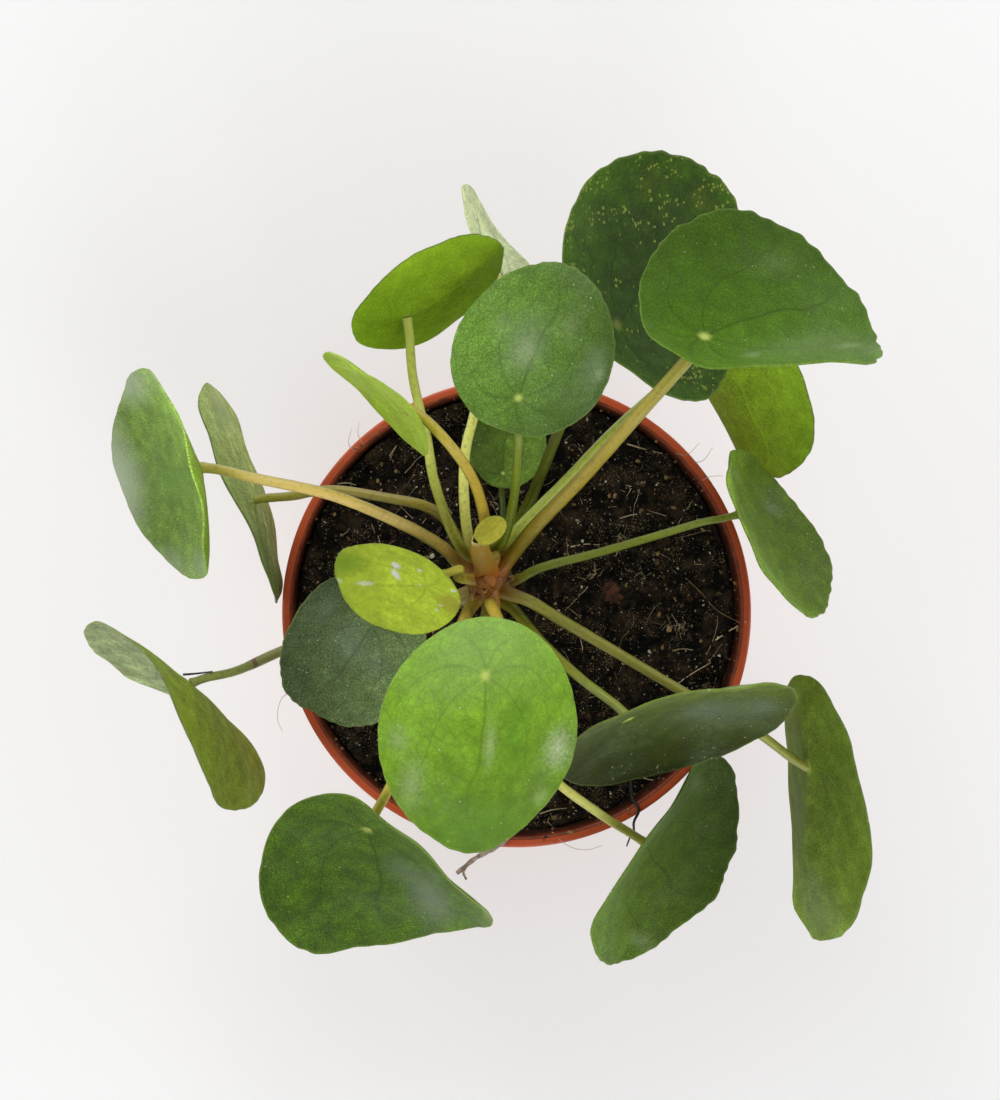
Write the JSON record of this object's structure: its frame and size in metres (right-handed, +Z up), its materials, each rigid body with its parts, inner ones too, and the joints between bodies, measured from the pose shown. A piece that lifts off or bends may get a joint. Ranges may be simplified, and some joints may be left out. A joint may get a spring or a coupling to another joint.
{
  "type": "potted pilea plant",
  "caption": "Pilea with round leaves on long stalks around a short woody trunk, growing in potting soil in a tapered terracotta-coloured plastic nursery pot.",
  "frame": {"origin": "centre of the pot's base, on the plane it stands on", "axes": "+Z up out of the pot. Seen from above with +X to the right, +Y points away from the viewer, and the largest leaf over the pot lies on the -Y side of the trunk."},
  "size_m": [0.1978, 0.2028, 0.2077],
  "materials": {
    "terracotta_plastic": "satin moulded polypropylene",
    "potting_soil": "moist crumbly peat and bark",
    "woody_stem": "rough thin bark",
    "green_blade": "smooth waxy leaf",
    "dark_blade": "smooth waxy older leaf",
    "young_blade": "glossy young leaf",
    "green_stalk": "smooth fleshy stalk",
    "amber_stalk": "smooth fleshy young stalk"
  },
  "bodies": {
    "root": {"pot": "terracotta_plastic", "soil": "potting_soil", "trunk": "woody_stem", "leaf_front": "green_blade", "stalk_front": "amber_stalk", "leaf_lime": "young_blade", "stalk_lime": "amber_stalk", "leaf_low_left": "dark_blade", "stalk_low_left": "green_stalk", "leaf_far_left": "green_blade", "stalk_far_left": "amber_stalk", "leaf_left": "green_blade", "stalk_left": "green_stalk", "leaf_left_low": "green_blade", "stalk_left_low": "green_stalk", "leaf_front_left": "green_blade", "stalk_front_left": "green_stalk", "leaf_front_right": "dark_blade", "stalk_front_right": "green_stalk", "leaf_dark_right": "dark_blade", "stalk_dark_right": "green_stalk", "leaf_right_low": "green_blade", "stalk_right_low": "green_stalk", "leaf_right": "dark_blade", "stalk_right": "green_stalk", "leaf_top_right": "green_blade", "stalk_top_right": "amber_stalk", "leaf_back_right": "dark_blade", "stalk_back_right": "green_stalk", "leaf_right_back": "green_blade", "stalk_right_back": "green_stalk", "leaf_round_back": "green_blade", "stalk_round_back": "green_stalk", "leaf_back_left": "green_blade", "stalk_back_left": "green_stalk", "leaf_back": "green_blade", "stalk_back": "amber_stalk", "leaf_arched": "young_blade", "stalk_arched": "amber_stalk", "leaf_low_back": "dark_blade", "stalk_low_back": "green_stalk", "leaf_bud": "young_blade", "stalk_bud": "amber_stalk"}
  },
  "joints": []
}
